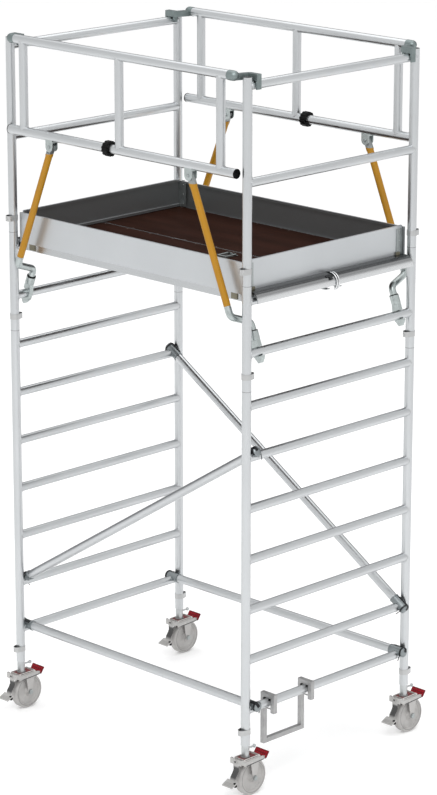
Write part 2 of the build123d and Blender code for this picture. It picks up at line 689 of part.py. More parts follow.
def grip_collar():
    """Fluted collar on the lower rail."""
    half, flutes = 19.0, 12
    body = ring((COLLAR_X, GUARD_Y, GUARD_LOW), (1, 0, 0), 2 * half, COLLAR_R, GUARD_R)
    for k in range(flutes):
        a = 2 * pi * k / flutes
        y, z = GUARD_Y + (COLLAR_R + 3) * cos(a), GUARD_LOW + (COLLAR_R + 3) * sin(a)
        body -= rod((COLLAR_X - half - 1, y, z), (COLLAR_X + half + 1, y, z), 6.5)
    return body


def grip_collars():
    return [grip_collar(), turned(grip_collar())]


def guard_claw():
    """Cast claw from the right end of the top rail over the top rung, inside the upright."""
    rung_top = GUARD_TOP_RUNG + RUNG_R + 0.3
    start, end, radius = GUARD_TOP_HALF - 16, GUARD_TOP_HALF + 16, GUARD_R + 1.5
    socket = rod((start, GUARD_Y, GUARD_TOP), (end, GUARD_Y, GUARD_TOP), radius)
    dome = Pos(end, GUARD_Y, GUARD_TOP) * Sphere(radius)
    edge, tip = HALF_X - RUNG_R - 0.5, HALF_X + RUNG_R + 10
    plan = [(824, GUARD_Y - 14), (846, GUARD_Y - 14), (872, -602), (tip, -602), (tip, -570),
            (858, -570), (846, -590), (824, GUARD_Y + 20)]
    arm = slab_z(plan, rung_top, GUARD_TOP + 8)
    nose = block(HALF_X + RUNG_R + 0.5, tip, -602, -570, GUARD_TOP_RUNG - 22, rung_top + 8)
    heel = block(edge - 14, edge, -598, -574, GUARD_TOP_RUNG - 6, rung_top + 20)
    rail = rod((start - 1, GUARD_Y, GUARD_TOP), (GUARD_TOP_HALF, GUARD_Y, GUARD_TOP), GUARD_R)
    return socket + dome + arm + nose + heel - rail


def guard_claws():
    right = guard_claw()
    front = [right, mirrored(right)]
    return front + [turned(piece) for piece in front]


def strut_bracket():
    """Saddle under the lower rail with two rounded ears, and the strut's pin."""
    x, z = STRUT_PIVOT
    ears = None
    for y0, y1 in ((GUARD_Y - 20, GUARD_Y - 15.5), (GUARD_Y + 15.5, GUARD_Y + 20)):
        ear = rod((x, y0, z), (x, y1, z), EAR_R)
        ear += block(x - EAR_R, x + EAR_R, y0, y1, z, GUARD_LOW - 8)
        ears = ear if ears is None else ears + ear
    web = block(x - EAR_R, x + EAR_R, GUARD_Y - 20, GUARD_Y + 20, GUARD_LOW - 30, GUARD_LOW - 8)
    body = ears + web
    body -= rod((x - 60, GUARD_Y, GUARD_LOW), (x + 60, GUARD_Y, GUARD_LOW), GUARD_R + 0.1)
    body -= rod((x, GUARD_Y - 30, z), (x, GUARD_Y + 30, z), 5)
    pin = rod((x, GUARD_Y - 23, z), (x, GUARD_Y + 23, z), 5)
    return [body, pin]


def strut_brackets():
    left = strut_bracket()
    front = left + [mirrored(piece) for piece in left]
    return front + [turned(piece) for piece in front]


# ---- struts, first the one at the left end of the front guardrail ----
def strut_frame():
    """Pivot, direction down to the rung, and direction out past the rung, of the strut."""
    pivot = Vector(STRUT_PIVOT[0], GUARD_Y, STRUT_PIVOT[1])
    run, drop = -HALF_X - STRUT_PIVOT[0], rung_z(8) - STRUT_PIVOT[1]
    length = hypot(run, drop)
    down = Vector(run / length, 0, drop / length)
    out = Vector(down.Z, 0, -down.X)
    return pivot, down, out, length


def strut_tube():
    """Painted tube, with a flat tongue at the pin."""
    pivot, down, _, _ = strut_frame()
    body = tube(pivot + down * 44, pivot + down * 700, STRUT_R, STRUT_WALL)
    tongue = block(-15, 15, -14.5, 14.5, -60, 15)
    tongue = Pos(pivot) * (Rot(0, degrees(atan2(-down.X, -down.Z)), 0) * tongue)
    side = Vector(0, 30, 0)
    tongue -= rod(pivot - side, pivot + side, 5 + RUNNING)
    cap = rod(pivot + down * 36, pivot + down * 44, STRUT_R)
    return tongue + cap + body


def strut_bar():
    """Bent steel tube that steps in to the rung, with its plug inside the painted tube."""
    pivot, down, _, length = strut_frame()
    inward = Vector(0, STRUT_JOG, 0)
    path = [pivot + down * 701, pivot + down * 758, pivot + down * 806 + inward,
            pivot + down * (length - 60) + inward]
    line = FilletPolyline(*path, radius=STRUT_BEND)
    start = Plane(origin=path[0], z_dir=down)
    bar = sweep(start * Circle(STRUT_STEEL_R), path=line)
    bar -= sweep(start * Circle(STRUT_STEEL_R - 2.5), path=line)
    plug = tube(pivot + down * 640, path[0], STRUT_PLUG_R, 3.0)
    return bar + plug + rod(path[0], path[0] + down * 4, STRUT_STEEL_R)


def strut_hook():
    """Steel end of the strut, and the casting whose jaw is open towards the tower's end."""
    pivot, down, out, length = strut_frame()
    seat = pivot + down * length + Vector(0, STRUT_JOG, 0)
    across = Vector(0, JAW_HALF, 0)
    side = Plane(origin=seat - across, x_dir=out, z_dir=(0, 1, 0))
    outline = [(-20, 84), (20, 84), (JAW_LIP, 60), (JAW_LIP, -32), (14, -44), (-2, -60),
               (-14, -60), (-34, -24), (-34, 22), (-24, 56)]
    body = extrude(make_face(side * Polyline(*outline, close=True)), 2 * JAW_HALF, dir=(0, 1, 0))
    body += rod(seat - down * 108, seat - down * 62, COLLAR_STEEL_R)
    body += rod(seat - down * 84 - across * 2, seat - down * 84 + across * 2, 6)
    hole = rod(seat - across * 2, seat + across * 2, JAW_R)
    mouth = Plane(origin=seat + out * 40, x_dir=out, z_dir=down) * Box(80, 100, 2 * JAW_R)
    return strut_bar() + (body - hole - mouth)


# ---- hanging step ----
def step_hanger():
    """Two square bars that hook over the first rung, a crossbar below, and a keeper strip."""
    z = rung_z(1)
    gap, bar = RUNG_R + HANGER_GAP, HANGER_BAR
    inner, outer = HALF_X - gap, HALF_X + gap
    pieces = None
    for y in HANGER_Y:
        y0, y1 = y - bar / 2, y + bar / 2
        inside = block(inner - bar, inner, y0, y1, HANGER_BOTTOM, z + gap + bar)
        over = block(inner - bar, outer + bar, y0, y1, z + gap, z + gap + bar)
        outside = block(outer, outer + bar, y0, y1, z - 55, z + gap + bar)
        keeper = block(inner - 1, outer + 1, y - 4, y + 4, z - 40, z - 36)
        arm = inside + over + outside + keeper
        pieces = arm if pieces is None else pieces + arm
    y0, y1 = HANGER_Y[0] - bar / 2, HANGER_Y[1] + bar / 2
    frame = pieces + block(inner - bar, inner, y0, y1, HANGER_BOTTOM, HANGER_BOTTOM + bar)
    wall = HANGER_WALL
    for y in HANGER_Y:
        frame -= block(inner - bar + wall, inner - wall, y - bar / 2 + wall, y + bar / 2 - wall,
                       HANGER_BOTTOM + bar, z + gap)
    return frame - block(inner - bar + wall, inner - wall, y0 + wall, y1 - wall,
                         HANGER_BOTTOM + wall, HANGER_BOTTOM + bar - wall)


# ---- nodes ----
def frame_nodes():
    lower = [rung_z(k) for k in range(1, LOWER_RUNGS + 1)]
    middle = [rung_z(k) for k in range(LOWER_RUNGS + 1, LOWER_RUNGS + MIDDLE_RUNGS + 1)]
    guard = [MIDDLE_TOP + rise for rise in GUARD_RUNG_RISES]
    nodes = {}
    for name, side in (("left", LEFT), ("right", RIGHT)):
        nodes[f"{name}_lower_frame"] = frame_section(side, LEG_BOTTOM, LOWER_TOP, lower)
    sides = (LEFT, RIGHT)
    nodes["middle_frames"] = [piece for side in sides
                              for piece in frame_section(side, LOWER_TOP, MIDDLE_TOP, middle)]
    nodes["guard_frames"] = [piece for side in sides
                             for piece in frame_section(side, MIDDLE_TOP, GUARD_END, guard)]
    nodes["frame_spigots"] = spigots()
    nodes["locking_clips"] = locking_clips()
    return nodes


def caster_nodes():
    nodes = {"caster_stems": caster_stems()}
    makers = (("fork", fork), ("wheel", wheel), ("axle", axle), ("brake_lever", brake_lever),
              ("release_pad", release_pad))
    for name, make in makers:
        shape = make()
        for corner, side, face in CORNERS:
            nodes[f"caster_{corner}_{name}"] = Pos(side * HALF_X, face * HALF_Y, 0) * shape
    return nodes


def brace_nodes():
    level, slope = brace(1, 1), brace(2, 6)
    return {
        "horizontal_braces": [level, turned(level)],
        "diagonal_braces": [slope, turned(slope)],
        "brace_claws": brace_ends(claw),
        "brace_triggers": brace_ends(trigger),
    }


def platform_nodes():
    rails = front_rails()
    return {
        "board_side_rails": rails + [turned(rail) for rail in rails],
        "board_end_hooks": board_end_hooks(),
        "deck_panels": deck_panels(),
        "deck_cross_bearers": cross_bearers(),
        "board_uplift_locks": board_uplift_locks(),
        "hatch_hinge_fixed": hatch_hinge_fixed(),
        "hatch_hinge_leaf": hatch_hinge_leaf(),
        "hatch_panel": hatch_panel(),
        "hatch_ring_plate": hatch_ring_plate(),
        "hatch_ring": hatch_ring(),
        "long_toe_boards": long_toe_boards(),
        "end_toe_boards": end_toe_boards(),
        "toe_board_corners": [toe_corner(side, face) for _, side, face in CORNERS],
        "toe_board_clips": toe_board_clips(),
    }


def guardrail_nodes():
    front = front_guardrail()
    nodes = {
        "front_guardrail": front,
        "back_guardrail": [turned(piece) for piece in front],
        "guardrail_end_plugs": end_plugs(),
        "guardrail_collars": grip_collars(),
        "guardrail_claws": guard_claws(),
        "strut_brackets": strut_brackets(),
    }
    for name, make in (("tube", strut_tube), ("hook", strut_hook)):
        left = make()
        right = mirrored(left)
        nodes[f"strut_fl_{name}"] = left
        nodes[f"strut_fr_{name}"] = right
        nodes[f"strut_br_{name}"] = turned(left)
        nodes[f"strut_bl_{name}"] = turned(right)
    return nodes


def main():
    os.makedirs("parts", exist_ok=True)
    nodes = frame_nodes() | caster_nodes() | brace_nodes() | platform_nodes() | guardrail_nodes()
    nodes["step_hanger"] = step_hanger()
    for name, shape in nodes.items():
        pieces = shape if isinstance(shape, list) else [shape]
        solids = [solid for piece in pieces for solid in piece.solids()]
        export_step(Compound(children=solids) if len(solids) > 1 else solids[0],
                    f"parts/{name}.step")


main()
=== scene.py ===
import json
from math import cos, pi, radians, sin, sqrt

import bmesh
import bpy
from mathutils import Matrix, Vector


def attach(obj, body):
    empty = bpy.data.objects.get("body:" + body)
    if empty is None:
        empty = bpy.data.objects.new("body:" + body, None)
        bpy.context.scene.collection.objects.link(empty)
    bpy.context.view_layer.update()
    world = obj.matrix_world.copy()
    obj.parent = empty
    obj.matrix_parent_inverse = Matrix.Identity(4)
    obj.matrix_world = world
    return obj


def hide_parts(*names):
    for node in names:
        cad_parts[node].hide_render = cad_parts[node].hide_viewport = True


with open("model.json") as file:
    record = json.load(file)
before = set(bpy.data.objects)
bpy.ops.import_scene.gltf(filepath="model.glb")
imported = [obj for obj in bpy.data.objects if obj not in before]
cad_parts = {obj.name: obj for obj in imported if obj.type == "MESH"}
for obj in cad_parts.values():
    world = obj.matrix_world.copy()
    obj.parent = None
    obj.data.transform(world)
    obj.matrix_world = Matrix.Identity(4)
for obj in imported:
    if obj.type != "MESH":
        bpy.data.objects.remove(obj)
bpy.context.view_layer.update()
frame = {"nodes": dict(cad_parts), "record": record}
NODES = frame["nodes"]
SCENE = bpy.context.scene

# ---- places on the tower, in metres ----
HALF_X, HALF_Y = 0.9, 0.636
UPRIGHT_R, RUNG_R = 0.025, 0.024
LEG_BOTTOM, LOWER_TOP, MIDDLE_TOP = 0.290, 2.250, 2.810
RUNG_1, PITCH = 0.487, 0.280
RUNGS = [RUNG_1 + PITCH * k for k in range(9)]
GUARD_RUNGS = (3.346, 3.846)
GUARD_Y, GUARD_TOP, GUARD_LOW = 0.676, 3.895, 3.395
BRACE_Y = 0.584
LEAN = radians(28)
POSTS = (-0.75, 0.0, 0.75)
POST_R = 0.024
DECK_TOP = 2.770
TRAIL, WHEEL_R = 0.038, 0.1
FORK_TOP = 0.226
CORNERS = {"fl": (-1, -1), "fr": (1, -1), "br": (1, 1), "bl": (-1, 1)}


# ---- camera, light and floor ----
AZIMUTH, ELEVATION, ROLL = (radians(a) for a in (44.8309, 15.7553, 0.0521))
LOOK_AT, DISTANCE = Vector((0.0078, 0.0560, 1.9015)), 17.1
LENS, SENSOR = 139.58, 36.0
WALL_TOP = 30.0
WALL_WAY = (-0.70, 0.71, 0.0)
WALL_SHADE = 0.22
DOME = 1.0
FLOOR_HALF = 120.0
FLOOR_GLOW = 0.17
WHITE = (1.0, 1.0, 1.0, 1.0)


def camera():
    """A long lens from the front right, above the guardrails and looking down."""
    data = bpy.data.cameras.new("camera")
    data.sensor_width, data.lens = SENSOR, LENS
    data.clip_start, data.clip_end = 0.5, 500.0
    obj = bpy.data.objects.new("camera", data)
    back = Vector((cos(ELEVATION) * sin(AZIMUTH), -cos(ELEVATION) * cos(AZIMUTH), sin(ELEVATION)))
    level = Vector((cos(AZIMUTH), sin(AZIMUTH), 0.0))
    above = back.cross(level)
    right = level * cos(ROLL) + above * sin(ROLL)
    turn = Matrix((right, back.cross(right), back)).transposed().to_4x4()
    obj.matrix_world = Matrix.Translation(LOOK_AT + back * DISTANCE) @ turn
    SCENE.collection.objects.link(obj)
    SCENE.camera = obj


def area_light(name, place, target, size, power):
    """Round soft light of a given diameter, aimed at a point."""
    data = bpy.data.lights.new(name, "AREA")
    data.shape, data.size, data.energy = "DISK", size, power
    obj = bpy.data.objects.new(name, data)
    obj.location = place
    aim = Vector(target) - Vector(place)
    obj.rotation_euler = aim.to_track_quat("-Z", "Y").to_euler()
    SCENE.collection.objects.link(obj)


def studio_world():
    """White dome with one grey wall low down, which the tubes mirror as a dark line."""
    world = bpy.data.worlds.new("studio")
    world.use_nodes = True
    tree = world.node_tree
    tree.nodes.clear()
    make, link = tree.nodes.new, tree.links.new
    where = make("ShaderNodeTexCoord")
    split = make("ShaderNodeSeparateXYZ")
    link(where.outputs["Generated"], split.inputs[0])
    height = make("ShaderNodeMapRange")
    height.interpolation_type = "SMOOTHSTEP"
    height.inputs["From Min"].default_value = sin(radians(WALL_TOP + 14))
    height.inputs["From Max"].default_value = sin(radians(WALL_TOP - 6))
    link(split.outputs["Z"], height.inputs["Value"])
    along = make("ShaderNodeVectorMath")
    along.operation = "DOT_PRODUCT"
    along.inputs[1].default_value = WALL_WAY
    link(where.outputs["Generated"], along.inputs[0])
    side = make("ShaderNodeMapRange")
    side.interpolation_type = "SMOOTHSTEP"
    side.inputs["From Min"].default_value = 0.1
    side.inputs["From Max"].default_value = 0.6
    link(along.outputs["Value"], side.inputs["Value"])
    both = make("ShaderNodeMath")
    both.operation = "MULTIPLY"
    link(height.outputs[0], both.inputs[0])
    link(side.outputs[0], both.inputs[1])
    shade = make("ShaderNodeMix")
    shade.data_type = "RGBA"
    shade.inputs["A"].default_value = WHITE
    shade.inputs["B"].default_value = (WALL_SHADE, WALL_SHADE, WALL_SHADE * 1.05, 1.0)
    link(both.outputs[0], shade.inputs["Factor"])
    seen = make("ShaderNodeLightPath")
    plain = make("ShaderNodeMix")
    plain.data_type = "RGBA"
    plain.inputs["B"].default_value = WHITE
    link(seen.outputs["Is Camera Ray"], plain.inputs["Factor"])
    link(shade.outputs["Result"], plain.inputs["A"])
    back = make("ShaderNodeBackground")
    back.inputs["Strength"].default_value = DOME
    link(plain.outputs["Result"], back.inputs["Color"])
    out = make("ShaderNodeOutputWorld")
    link(back.outputs[0], out.inputs["Surface"])
    SCENE.world = world


def floor():
    """Plain pale floor that glows faintly, so that it stays white round the object."""
    mesh = bpy.data.meshes.new("floor")
    s = FLOOR_HALF
    mesh.from_pydata([(-s, -s, 0), (s, -s, 0), (s, s, 0), (-s, s, 0)], [], [(0, 1, 2, 3)])
    obj = bpy.data.objects.new("floor", mesh)
    SCENE.collection.objects.link(obj)
    mat = bpy.data.materials.new("floor_pale")
    mat.use_nodes = True
    shader = mat.node_tree.nodes["Principled BSDF"]
    shader.inputs["Base Color"].default_value = (0.92, 0.92, 0.92, 1.0)
    shader.inputs["Roughness"].default_value = 0.9
    shader.inputs["Specular IOR Level"].default_value = 0.1
    shader.inputs["Emission Color"].default_value = WHITE
    shader.inputs["Emission Strength"].default_value = FLOOR_GLOW
    obj.data.materials.append(mat)


camera()
studio_world()
floor()
area_light("key", (5.0, -5.0, 10.0), (0.0, 0.0, 1.8), 8.0, 420.0)
area_light("top", (-2.0, 2.0, 10.0), (0.0, 0.0, 1.0), 9.0, 200.0)
SCENE.view_settings.view_transform = "Standard"


# ---- materials ----
class Paint:
    """A Principled material with helpers that add procedural detail."""

    def __init__(self, name, colour, rough, metal=0.0):
        self.mat = bpy.data.materials.new(name)
        self.mat.use_nodes = True
        self.tree = self.mat.node_tree
        self.shader = self.tree.nodes["Principled BSDF"]
        self.colour, self.rough = colour, rough
        self.shader.inputs["Base Color"].default_value = (*colour, 1.0)
        self.shader.inputs["Roughness"].default_value = rough
        self.shader.inputs["Metallic"].default_value = metal
        self.where = self.tree.nodes.new("ShaderNodeTexCoord").outputs["Object"]
        self.height = None

    def node(self, kind, **inputs):
        made = self.tree.nodes.new(kind)
        for key, value in inputs.items():
            socket = made.inputs[key.replace("_", " ")]
            if isinstance(value, bpy.types.NodeSocket):
                self.tree.links.new(value, socket)
            else:
                socket.default_value = value
        return made

    def noise(self, scale, detail=3.0, stretch=(1, 1, 1), rough=0.5):
        place = self.node("ShaderNodeMapping", Vector=self.where, Scale=stretch)
        made = self.node("ShaderNodeTexNoise", Vector=place.outputs[0], Scale=scale,
                         Detail=detail, Roughness=rough)
        return made.outputs["Fac"]

    def math(self, operation, a, b=0.0):
        made = self.tree.nodes.new("ShaderNodeMath")
        made.operation = operation
        for socket, value in zip(made.inputs, (a, b)):
            if isinstance(value, bpy.types.NodeSocket):
                self.tree.links.new(value, socket)
            else:
                socket.default_value = value
        return made.outputs[0]

    def remap(self, value, low, high, start=0.0, end=1.0):
        made = self.node("ShaderNodeMapRange", Value=value, From_Min=start, From_Max=end,
                         To_Min=low, To_Max=high)
        return made.outputs[0]

    def blend(self, factor, a, b):
        made = self.tree.nodes.new("ShaderNodeMix")
        made.data_type = "RGBA"
        for key, value in (("Factor", factor), ("A", a), ("B", b)):
            socket = made.inputs[key]
            if isinstance(value, bpy.types.NodeSocket):
                self.tree.links.new(value, socket)
            elif key == "Factor":
                socket.default_value = value
            else:
                socket.default_value = (*value, 1.0)
        return made.outputs["Result"]

    def set(self, name, value):
        self.tree.links.new(value, self.shader.inputs[name])

    def tint(self, factor, other):
        """Base colour runs from the material's own to another, by the factor."""
        self.set("Base Color", self.blend(factor, self.colour, other))

    def bump(self, height, depth, strength=1.0):
        chain = {} if self.height is None else {"Normal": self.height}
        made = self.node("ShaderNodeBump", Height=height, Distance=depth, Strength=strength,
                         **chain)
        self.height = made.outputs[0]
        self.set("Normal", self.height)


def scaled(colour, k):
    return tuple(c * k for c in colour)


def drawn_metal(name, colour, rough, axis_of=None, stretch=(1, 1, 1)):
    """Drawn aluminium: fine lines along the tube, faint handling marks, uneven sheen."""
    p = Paint(name, colour, rough, 1.0)
    if axis_of is None:
        lines = p.noise(420.0, 2.0, stretch)
    else:
        split = p.node("ShaderNodeSeparateXYZ", Vector=p.where)
        away = p.math("ABSOLUTE", split.outputs[axis_of[0]])
        mask = p.math("GREATER_THAN", away, axis_of[1])
        one = p.noise(420.0, 2.0, axis_of[2])
        two = p.noise(420.0, 2.0, axis_of[3])
        lines = p.math("ADD", p.math("MULTIPLY", one, mask),
                       p.math("MULTIPLY", two, p.math("SUBTRACT", 1.0, mask)))
    marks = p.noise(3.0, 2.0)
    haze = p.remap(marks, 0.0, 1.0, 0.35, 0.75)
    p.tint(p.math("MULTIPLY", haze, p.remap(lines, 0.6, 1.0)), scaled(colour, 0.94))
    p.set("Roughness", p.math("ADD", p.remap(marks, rough - 0.015, rough + 0.03),
                              p.remap(lines, -0.02, 0.02)))
    p.bump(lines, 0.00002)
    return p


TUBE = (0.55, 0.567, 0.578)
ALONG_Z, ALONG_Y, ALONG_X = (1, 1, 0.02), (1, 0.02, 1), (0.02, 1, 1)


def cast_metal(name, colour, rough, metal=0.6):
    """Cast and tumbled surface: orange peel, dark pits, brighter where hands rub it."""
    p = Paint(name, colour, rough, metal)
    grain = p.noise(260.0, 4.0)
    cloud = p.noise(28.0, 3.0)
    p.tint(p.remap(cloud, 0.0, 0.8, 0.3, 0.8), scaled(colour, 0.72))
    p.set("Roughness", p.remap(grain, rough - 0.08, rough + 0.12))
    p.bump(grain, 0.0004, 0.6)
    return p


def coated(name, colour, rough, peel=180.0, depth=0.0002, wear=None, metal=0.0):
    """Paint or enamel: faint orange peel, cloudy tone, scuffs to another tone."""
    p = Paint(name, colour, rough, metal)
    peel_noise = p.noise(peel, 2.0)
    cloud = p.noise(6.0, 3.0)
    tone = p.blend(p.remap(cloud, 0.0, 1.0, 0.3, 0.8), colour, scaled(colour, 0.86))
    if wear:
        scuff = p.noise(34.0, 8.0, (1, 1, 1), 0.7)
        tone = p.blend(p.remap(scuff, 0.0, 0.75, 0.66, 0.74), tone, wear)
    p.set("Base Color", tone)
    p.set("Roughness", p.remap(cloud, rough - 0.05, rough + 0.08))
    p.bump(peel_noise, depth, 0.5)
    return p


def moulded(name, colour, rough, texture=500.0, gloss=0.5):
    """Moulded plastic with a fine spark-eroded texture."""
    p = Paint(name, colour, rough)
    p.shader.inputs["Specular IOR Level"].default_value = gloss
    grain = p.noise(texture, 3.0)
    cloud = p.noise(18.0, 2.0)
    p.tint(p.remap(cloud, 0.0, 1.0, 0.35, 0.75), scaled(colour, 0.8))
    p.set("Roughness", p.remap(grain, rough - 0.06, rough + 0.08))
    p.bump(grain, 0.0002, 0.5)
    return p


def plywood():
    """Brown film on plywood, pressed with a fine mesh, streaked and dusty from boots."""
    colour = (0.016, 0.005, 0.0025)
    p = Paint("deck_film", colour, 0.5)
    p.shader.inputs["Specular IOR Level"].default_value = 0.02
    streak = p.noise(7.0, 6.0, (0.35, 2.2, 1.0), 0.65)
    dust = p.noise(3.2, 5.0)
    film = p.blend(p.remap(streak, 0.0, 1.0, 0.35, 0.7), colour, (0.028, 0.0095, 0.0058))
    film = p.blend(p.remap(dust, 0.0, 0.10, 0.5, 0.8), film, (0.07, 0.045, 0.033))
    split = p.node("ShaderNodeSeparateXYZ", Vector=p.where)
    mesh_x = p.math("SINE", p.math("MULTIPLY", split.outputs["X"], 2 * pi / 0.006))
    mesh_y = p.math("SINE", p.math("MULTIPLY", split.outputs["Y"], 2 * pi / 0.006))
    wires = p.math("MAXIMUM", mesh_x, mesh_y)
    ply = p.math("SINE", p.math("MULTIPLY", split.outputs["Z"], 2 * pi / 0.003))
    normal = p.node("ShaderNodeNewGeometry")
    facing = p.node("ShaderNodeSeparateXYZ", Vector=normal.outputs["Normal"])
    flat = p.math("GREATER_THAN", p.math("ABSOLUTE", facing.outputs["Z"]), 0.7)
    edge = p.blend(p.remap(ply, 0.0, 1.0, -1.0, 1.0), (0.20, 0.12, 0.07), (0.09, 0.05, 0.03))
    p.set("Base Color", p.blend(flat, edge, film))
    p.set("Roughness", p.remap(dust, 0.42, 0.6))
    p.bump(wires, 0.0003, 0.25)
    return p


def by_height(paint, z, soft, other):
    """Above a height, in the rest frame, the base colour turns into another."""
    split = paint.node("ShaderNodeSeparateXYZ", Vector=paint.where)
    mask = paint.remap(split.outputs["Z"], 0.0, 1.0, z - soft, z + soft)
    base = paint.shader.inputs["Base Color"].links[0].from_socket
    paint.set("Base Color", paint.blend(mask, base, other))
    return mask


def toe_metal():
    """Smooth extrusion; the ribbed side that faces the deck is coloured a darker grey."""
    p = drawn_metal("toe_aluminium", (0.52, 0.54, 0.555), 0.3, None, ALONG_X)
    p.shader.inputs["Metallic"].default_value = 0.75
    flat = p.node("ShaderNodeVectorMath", Vector=p.where)
    flat.operation = "MULTIPLY"
    flat.inputs[1].default_value = (1.0, 1.0, 0.0)
    facing = p.tree.nodes.new("ShaderNodeVectorMath")
    facing.operation = "DOT_PRODUCT"
    p.tree.links.new(flat.outputs[0], facing.inputs[0])
    p.tree.links.new(p.node("ShaderNodeNewGeometry").outputs["Normal"], facing.inputs[1])
    # the faces turned towards the deck are coloured a darker grey
    inside = p.math("LESS_THAN", facing.outputs["Value"], -0.2)
    base = p.shader.inputs["Base Color"].links[0].from_socket
    p.set("Base Color", p.blend(inside, base, (0.23, 0.238, 0.242)))
    return p


def strut_paint():
    """Yellow enamel, with the bare steel tongue above it."""
    p = coated("strut_yellow", (0.395, 0.187, 0.007), 0.4, wear=(0.27, 0.16, 0.03))
    p.shader.inputs["Specular IOR Level"].default_value = 0.3
    mask = by_height(p, 3.300, 0.0008, (0.30, 0.32, 0.32))
    p.set("Metallic", p.remap(mask, 0.0, 0.8))
    return p


def hook_metal():
    """Extruded profile, left bright at its lower lip, with painted shade above it: a mid-grey
    band, and a dark painted shadow along its top under the toe board.
    """
    p = drawn_metal("hook_aluminium", (0.66, 0.67, 0.68), 0.26, None, ALONG_Y)
    # painted shade: above this height the profile turns mid grey
    by_height(p, 2.744, 0.006, (0.30, 0.305, 0.31))
    # painted shadow: a dark line along the top, under the toe board
    by_height(p, 2.761, 0.002, (0.085, 0.087, 0.09))
    return p


def fork_paint():
    """Satin grey, with painted shade on the legs beside the wheel, below the skirt."""
    p = coated("caster_grey", (0.60, 0.575, 0.555), 0.34, metal=0.35)
    # painted shade: below the skirt's lower edge the legs turn darker grey
    by_height(p, 0.187, -0.004, (0.44, 0.43, 0.42))
    return p


def lever_paint():
    """Satin grey, with painted shade, near black, in the hollow of the pedal's neck."""
    p = coated("lever_grey", (0.46, 0.455, 0.445), 0.4, metal=0.4)
    split = p.node("ShaderNodeSeparateXYZ", Vector=p.where)
    low = p.remap(split.outputs["Z"], 0.0, 1.0, 0.112, 0.130)
    high = p.remap(split.outputs["Z"], 1.0, 0.0, 0.180, 0.192)
    base = p.shader.inputs["Base Color"].links[0].from_socket
    # painted shade: the band between the pedal and the arms is turned near black
    p.set("Base Color", p.blend(p.math("MULTIPLY", low, high), base, (0.06, 0.06, 0.06)))
    return p


MATS = {
    "frame_tube": drawn_metal("frame_aluminium", TUBE, 0.3, ("Y", 0.6115, ALONG_Z, ALONG_Y)),
    "guard_tube": drawn_metal("guard_aluminium", TUBE, 0.3, ("Z", 9.0, ALONG_Z, ALONG_X)),
    "brace_tube": drawn_metal("brace_aluminium", scaled(TUBE, 0.98), 0.3, None, ALONG_X),
    "spigot_metal": drawn_metal("spigot_aluminium", scaled(TUBE, 0.85), 0.4, None, ALONG_Z),
    "clip_metal": drawn_metal("clip_band", (0.48, 0.485, 0.485), 0.32, None, ALONG_Z),
    "board_metal": drawn_metal("board_aluminium", scaled(TUBE, 0.9), 0.26, None, ALONG_Y),
    "toe_metal": toe_metal(),
    "zinc_steel": cast_metal("zinc_steel", (0.40, 0.43, 0.43), 0.34, 0.9),
    "cast_claw": cast_metal("claw_alloy", (0.215, 0.255, 0.255), 0.38, 0.8),
    "caster_metal": fork_paint(),
    "lever_metal": lever_paint(),
    "caster_wheel": moulded("wheel_grey", (0.42, 0.41, 0.40), 0.5, 260.0),
    "red_plastic": moulded("pad_red", (0.16, 0.004, 0.010), 0.4, gloss=0.2),
    "black_plastic": moulded("plug_black", (0.0025, 0.0025, 0.0025), 0.3, gloss=0.1),
    "yellow_paint": strut_paint(),
    "brass_clip": cast_metal("clip_brass", (0.24, 0.225, 0.17), 0.42, 0.8),
    "hanger_steel": cast_metal("hanger_galvanised", (0.40, 0.40, 0.40), 0.42, 0.75),
    "deck_ply": plywood(),
}
STEEL_TUBE = cast_metal("strut_steel", (0.47, 0.515, 0.51), 0.28, 0.95)
CLAW_DARK = cast_metal("brace_claw_alloy", (0.27, 0.295, 0.305), 0.34, 0.85)
TRIGGER = cast_metal("trigger_steel", (0.035, 0.038, 0.04), 0.32, 0.7)
STEM_METAL = cast_metal("stem_steel", (0.53, 0.55, 0.555), 0.32, 0.9)
PLATE_DARK = cast_metal("ring_plate_steel", (0.06, 0.055, 0.05), 0.4, 0.8)
WELD = drawn_metal("weld_bead", (0.56, 0.57, 0.58), 0.42, None, (1, 1, 1))
# dark joints between frame sections, and also the painted shadow strips on the casters
SEAM_AND_SHADOW = moulded("dark_seam_and_shadow", (0.05, 0.05, 0.055), 0.6)
DARK_RIVET = cast_metal("deck_rivet", (0.16, 0.13, 0.12), 0.45, 0.8)
LOCK_RED = cast_metal("lock_plate_red", (0.22, 0.05, 0.05), 0.5, 0.4)
GROOVE = moulded("tyre_groove", (0.24, 0.235, 0.23), 0.6)
SPRING = cast_metal("spring_black", (0.012, 0.013, 0.015), 0.34, 0.5)
RIM = drawn_metal("flange_rim", (0.74, 0.75, 0.76), 0.25)
TOE_CAP = drawn_metal("toe_cap", (0.53, 0.55, 0.565), 0.35)
STUD_RED = moulded("stud_red", (0.36, 0.007, 0.016), 0.4, gloss=0.2)
PEDAL_RIB = coated("pedal_rib", (0.40, 0.395, 0.385), 0.4, metal=0.4)

SPECIAL = {"board_end_hooks": hook_metal(), "brace_claws": CLAW_DARK, "brace_triggers": TRIGGER,
           "strut_brackets": STEEL_TUBE, "hatch_ring_plate": PLATE_DARK,
           "caster_stems": STEM_METAL, "board_uplift_locks": STEM_METAL}
SPECIAL |= {f"strut_{corner}_hook": STEEL_TUBE for corner in CORNERS}
for row in frame["record"]["subparts"]:
    paint = SPECIAL.get(row["node"], MATS[row["material_slot"]])
    for entry in NODES[row["node"]].material_slots:
        entry.material = paint.mat


